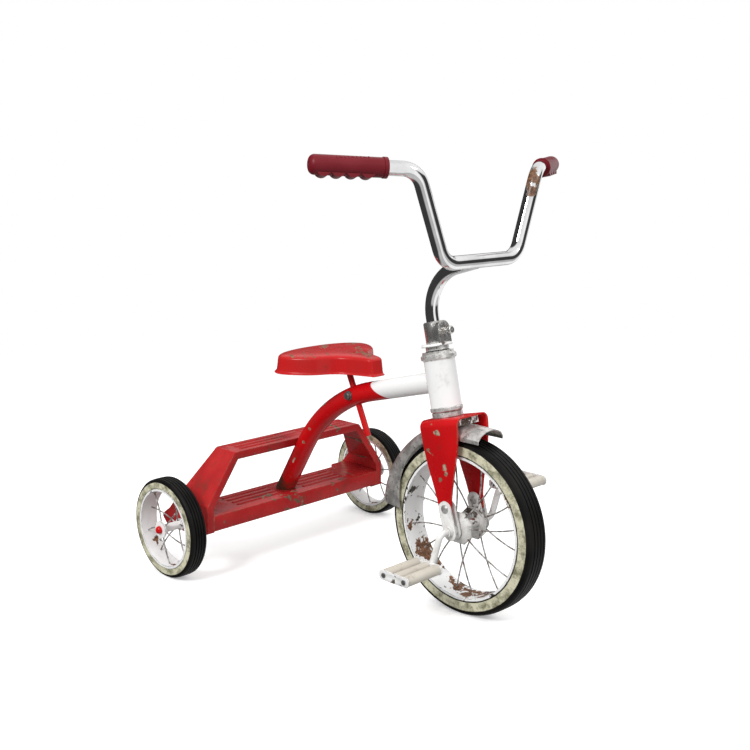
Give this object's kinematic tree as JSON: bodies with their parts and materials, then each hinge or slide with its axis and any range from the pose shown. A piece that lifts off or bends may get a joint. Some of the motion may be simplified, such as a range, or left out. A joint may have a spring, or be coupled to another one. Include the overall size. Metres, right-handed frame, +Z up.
{
  "type": "children's tricycle",
  "caption": "Child's tricycle with pressed rear steps, a bent backbone, a raked head tube, high-rise handlebar, direct-drive pedals and a sliding seat.",
  "frame": {"origin": "on the ground, at the middle of the object's length and width", "axes": "+Z up, -Y forward (travel), +X to the rider's left"},
  "size_m": [0.4996, 0.616, 0.6412],
  "materials": {
    "red_enamel": "gloss, chipped",
    "white_enamel": "gloss, chipped, rust in the rims",
    "chrome": "polished, pitted in places",
    "galvanised": "dull zinc",
    "bare_steel": "dull, oxidised",
    "grip_rubber": "satin",
    "tyre_rubber": "matte, with a cream side band",
    "pedal_plastic": "satin, worn"
  },
  "bodies": {
    "frame": {"backbone_tube": "red_enamel", "head_tube": "white_enamel", "head_cup_lower": "galvanised", "head_cup_upper": "galvanised", "seat_clamp_bolt": "bare_steel", "seat_clamp_collar": "bare_steel", "lower_step": "red_enamel", "upper_step": "red_enamel", "rear_axle": "bare_steel", "rear_axle_washers": "bare_steel", "hub_caps": "red_enamel"},
    "seat": {"seat_pan": "red_enamel", "seat_bracket": "red_enamel", "seat_rivets": "bare_steel", "seat_post": "red_enamel"},
    "steering": {"fork": "red_enamel", "bearing_hanger_left": "white_enamel", "bearing_hanger_right": "white_enamel", "axle_bushes": "bare_steel", "hanger_rivets": "bare_steel", "fender": "galvanised", "fender_bracket": "white_enamel", "fender_screw": "bare_steel", "steerer_tube": "galvanised", "lower_race": "galvanised", "head_balls": "bare_steel", "head_cone_upper": "galvanised", "lock_washer": "white_enamel", "stem_lug": "chrome", "stem_lug_bolt": "chrome"},
    "handlebar": {"handlebar": "chrome", "handlebar_stem": "chrome", "grip_left": "grip_rubber", "grip_right": "grip_rubber"},
    "front_wheel": {"front_tyre": "tyre_rubber", "front_rim": "white_enamel", "front_spokes": "bare_steel", "front_hub_plate_right": "white_enamel", "front_hub_plate_left": "white_enamel", "front_hub_barrel": "white_enamel", "crank_axle": "white_enamel"},
    "pedal_right": {"pedal_right_plates": "white_enamel", "pedal_right_blocks": "pedal_plastic", "pedal_right_sleeve": "pedal_plastic", "pedal_right_bolts": "bare_steel"},
    "rear_wheel_right": {"rear_tyre_right": "tyre_rubber", "rear_rim_right": "white_enamel", "rear_hub_right": "white_enamel", "rear_spokes_right": "bare_steel"},
    "pedal_left": {"pedal_left_plates": "white_enamel", "pedal_left_blocks": "pedal_plastic", "pedal_left_sleeve": "pedal_plastic", "pedal_left_bolts": "bare_steel"},
    "rear_wheel_left": {"rear_tyre_left": "tyre_rubber", "rear_rim_left": "white_enamel", "rear_hub_left": "white_enamel", "rear_spokes_left": "bare_steel"}
  },
  "joints": [
    {"name": "steering_turn", "type": "hinge", "parent": "frame", "child": "steering", "pos_m": [0, -0.17856, 0.12645], "axis": [0, 0.2215, 0.9751], "range_deg": [-90, 90]},
    {"name": "handlebar_height", "type": "slide", "parent": "steering", "child": "handlebar", "axis": [0, 0.2215, 0.9751], "range_m": [-0.008, 0.03]},
    {"name": "seat_height", "type": "slide", "parent": "frame", "child": "seat", "axis": [0, 0.4067, 0.9135], "range_m": [-0.003, 0.035]},
    {"name": "front_wheel_spin", "type": "hinge", "parent": "steering", "child": "front_wheel", "pos_m": [0, -0.181, 0.127], "axis": [1, 0, 0], "continuous": true},
    {"name": "pedal_right_spin", "type": "hinge", "parent": "front_wheel", "child": "pedal_right", "pos_m": [-0.106, -0.1726, 0.08381], "axis": [1, 0, 0], "continuous": true},
    {"name": "pedal_left_spin", "type": "hinge", "parent": "front_wheel", "child": "pedal_left", "pos_m": [0.106, -0.1894, 0.17019], "axis": [1, 0, 0], "continuous": true},
    {"name": "rear_wheel_right_spin", "type": "hinge", "parent": "frame", "child": "rear_wheel_right", "pos_m": [-0.22, 0.23, 0.078], "axis": [1, 0, 0], "continuous": true},
    {"name": "rear_wheel_left_spin", "type": "hinge", "parent": "frame", "child": "rear_wheel_left", "pos_m": [0.22, 0.23, 0.078], "axis": [1, 0, 0], "continuous": true}
  ]
}
